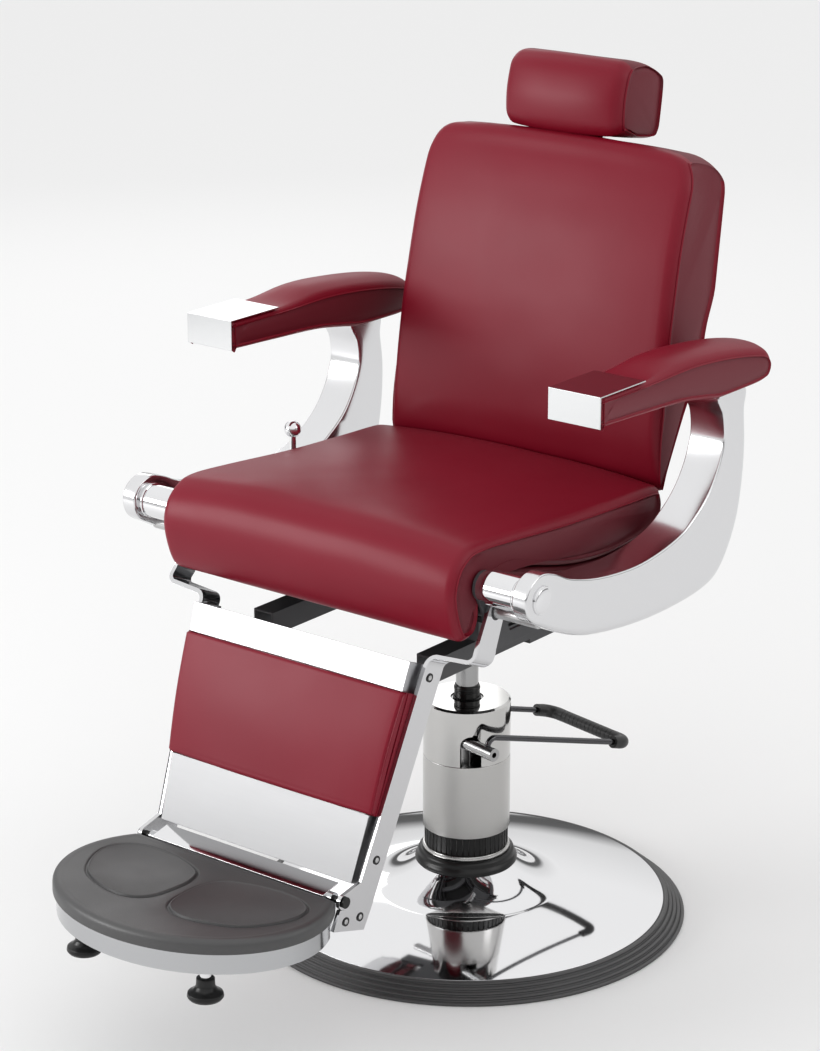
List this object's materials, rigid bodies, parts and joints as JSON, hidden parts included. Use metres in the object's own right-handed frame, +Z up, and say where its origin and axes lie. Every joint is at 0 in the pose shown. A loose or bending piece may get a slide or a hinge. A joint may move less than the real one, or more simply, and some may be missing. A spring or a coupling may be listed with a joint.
{
  "type": "barber_chair",
  "caption": "Hydraulic barber chair: red vinyl upholstery, cast arms, reclining back, sliding head rest, lifting leg rest, folding foot platform, round chrome base",
  "frame": {"origin": "centre of the base's underside, on the floor", "axes": "+Z up along the lifting ram, -Y the way the sitter faces, +X to the sitter's left"},
  "size_m": [0.74, 1.1247, 1.2899],
  "materials": {
    "leather": "satin, smooth upholstery vinyl",
    "leather_dark": "satin, smooth upholstery vinyl in shade of the seat",
    "chrome": "polished plate",
    "satin": "finely brushed plate",
    "cast_arm": "polished casting",
    "steel": "machined",
    "iron": "as cast, painted",
    "rubber": "matt moulded",
    "dark": "black, semi-gloss",
    "grey_paint": "dark grey powder coat",
    "plywood": "bare plywood",
    "shell": "fine grain, black"
  },
  "bodies": {
    "base": {"base_ballast": "iron", "base_dome": "chrome", "base_rim": "rubber", "base_collar": "rubber", "pump_body": "steel", "pump_bolts": "steel", "cover_skirt": "dark", "cover_lower": "satin", "cover_upper": "chrome", "gland_nut": "dark"},
    "pump_lever": {"lever_shaft": "chrome", "lever_loop": "chrome", "lever_grip": "rubber"},
    "plunger": {"pump_plunger": "steel"},
    "ram": {"lifting_ram": "chrome"},
    "seat": {"swivel_hub": "grey_paint", "seat_rails": "grey_paint", "front_cross_member": "grey_paint", "rear_cross_member": "grey_paint", "side_plates": "grey_paint", "lever_bracket": "grey_paint", "arm_spacers": "leather_dark", "seat_pan": "plywood", "seat_box": "leather_dark", "seat_cushion": "leather", "arm_bracket_left": "grey_paint", "arm_bracket_right": "grey_paint", "arm_barrel_left": "chrome", "arm_barrel_right": "chrome", "arm_left": "cast_arm", "arm_right": "cast_arm", "boss_caps": "chrome", "arm_pad_left": "leather", "arm_pad_right": "leather", "arm_cap_left": "chrome", "arm_cap_right": "chrome", "leg_hinge_pins": "steel", "back_hinge_shaft": "steel"},
    "back": {"back_cushion": "leather", "back_shell": "shell", "back_frame": "grey_paint"},
    "head_rest": {"headrest_bar": "chrome", "headrest_pad": "leather"},
    "link": {"recline_link": "grey_paint"},
    "leg_rest": {"leg_hinge_tube": "grey_paint", "leg_bar_left": "chrome", "leg_bar_right": "chrome", "leg_screws": "steel", "leg_top_panel": "chrome", "leg_kick_plate": "satin", "calf_board": "plywood", "calf_pad": "leather", "foot_hinge_pins": "dark"},
    "foot_platform": {"foot_pan": "chrome", "foot_mat": "rubber", "foot_studs": "chrome", "foot_tips": "rubber"},
    "recline_handle": {"recline_lever": "chrome", "recline_knob": "chrome"}
  },
  "joints": [
    {"name": "lift", "type": "slide", "parent": "base", "child": "ram", "axis": [0, 0, 1], "range_m": [-0.115, 0.03]},
    {"name": "swivel", "type": "hinge", "parent": "ram", "child": "seat", "pos_m": [0, 0, 0.54], "axis": [0, 0, 1], "continuous": true},
    {"name": "recline", "type": "hinge", "parent": "seat", "child": "back", "pos_m": [0, 0.125, 0.636], "axis": [-1, 0, 0], "range_deg": [0, 50]},
    {"name": "leg_lift", "type": "hinge", "parent": "seat", "child": "leg_rest", "pos_m": [0, -0.3, 0.633], "axis": [-1, 0, 0], "range_deg": [0, 50]},
    {"name": "link_turn", "type": "hinge", "parent": "back", "child": "link", "pos_m": [0, 0.15224, 0.58254], "axis": [-1, 0, 0], "range_deg": [-50, 0]},
    {"name": "foot_fold", "type": "hinge", "parent": "leg_rest", "child": "foot_platform", "pos_m": [0, -0.51863, 0.25477], "axis": [-1, 0, 0], "range_deg": [0, 98]},
    {"name": "headrest_slide", "type": "slide", "parent": "back", "child": "head_rest", "axis": [0, 0.165, 0.9863], "range_m": [0, 0.1]},
    {"name": "pump_stroke", "type": "hinge", "parent": "base", "child": "pump_lever", "pos_m": [-0.00758, -0.03724, 0.295], "axis": [-0.9799, 0.1994, 0], "range_deg": [0, 22], "stiffness_Nm_per_rad": 4, "springref_deg": -28.65},
    {"name": "plunger_stroke", "type": "slide", "parent": "base", "child": "plunger", "axis": [0, 0, -1], "range_m": [-0.001, 0.008]},
    {"name": "recline_release", "type": "hinge", "parent": "seat", "child": "recline_handle", "pos_m": [-0.29, -0.058, 0.555], "axis": [1, 0, 0], "range_deg": [-14, 20]}
  ],
  "couplings": [
    {"joint": "leg_lift", "follows": "recline", "ratio": 1},
    {"joint": "link_turn", "follows": "recline", "ratio": -1},
    {"joint": "plunger_stroke", "follows": "pump_stroke", "m_per_rad": 0.018}
  ]
}
